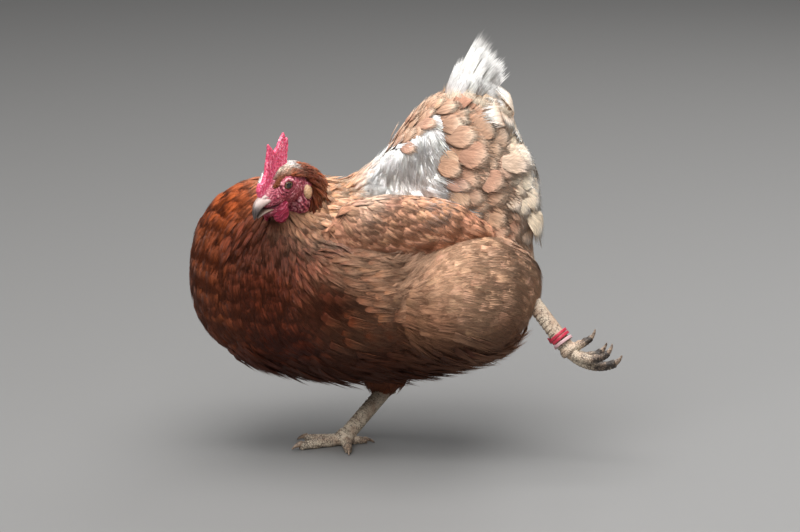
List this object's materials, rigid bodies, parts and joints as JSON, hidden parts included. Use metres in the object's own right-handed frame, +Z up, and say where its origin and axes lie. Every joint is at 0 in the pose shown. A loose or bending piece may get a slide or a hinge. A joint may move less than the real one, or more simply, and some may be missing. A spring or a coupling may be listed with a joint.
{
  "type": "hen",
  "caption": "Brown laying hen standing on one foot with the other kicked back to scratch, its neck drawn in, tail raised and head turned aside.",
  "frame": {"origin": "on the floor, under the ball of the standing right foot", "axes": "+X from the breast towards the tail, so that the hen faces -X; +Y to the hen's right; +Z up"},
  "size_m": [0.36, 0.1828, 0.3554],
  "materials": {
    "hackle_plumage": "matte",
    "breast_plumage": "matte",
    "thigh_plumage": "matte",
    "rump_plumage": "matte",
    "wing_feathers": "matte",
    "tail_feathers": "matte",
    "comb_skin": "satin",
    "face_skin": "satin",
    "earlobe_skin": "satin",
    "bill_horn": "satin",
    "eye": "gloss",
    "leg_scales": "satin",
    "claw_horn": "satin",
    "ring_red": "gloss",
    "ring_pale": "gloss"
  },
  "bodies": {
    "root": {"neck": "hackle_plumage", "torso": "breast_plumage", "rump": "rump_plumage", "tail": "tail_feathers", "thigh_left": "thigh_plumage", "thigh_right": "thigh_plumage", "wing_left": "wing_feathers", "wing_right": "wing_feathers", "head": "face_skin", "comb": "comb_skin", "wattle_left": "comb_skin", "wattle_right": "comb_skin", "earlobe_left": "earlobe_skin", "earlobe_right": "earlobe_skin", "bill_upper": "bill_horn", "bill_lower": "bill_horn", "eye_left": "eye", "eye_right": "eye", "shank_left": "leg_scales", "shank_right": "leg_scales", "leg_ring_red": "ring_red", "leg_ring_pale": "ring_pale", "toe_left_middle": "leg_scales", "claw_left_middle": "claw_horn", "toe_left_inner": "leg_scales", "claw_left_inner": "claw_horn", "toe_left_outer": "leg_scales", "claw_left_outer": "claw_horn", "toe_left_hind": "leg_scales", "claw_left_hind": "claw_horn", "toe_right_middle": "leg_scales", "claw_right_middle": "claw_horn", "toe_right_inner": "leg_scales", "claw_right_inner": "claw_horn", "toe_right_outer": "leg_scales", "claw_right_outer": "claw_horn", "toe_right_hind": "leg_scales", "claw_right_hind": "claw_horn"}
  },
  "joints": []
}
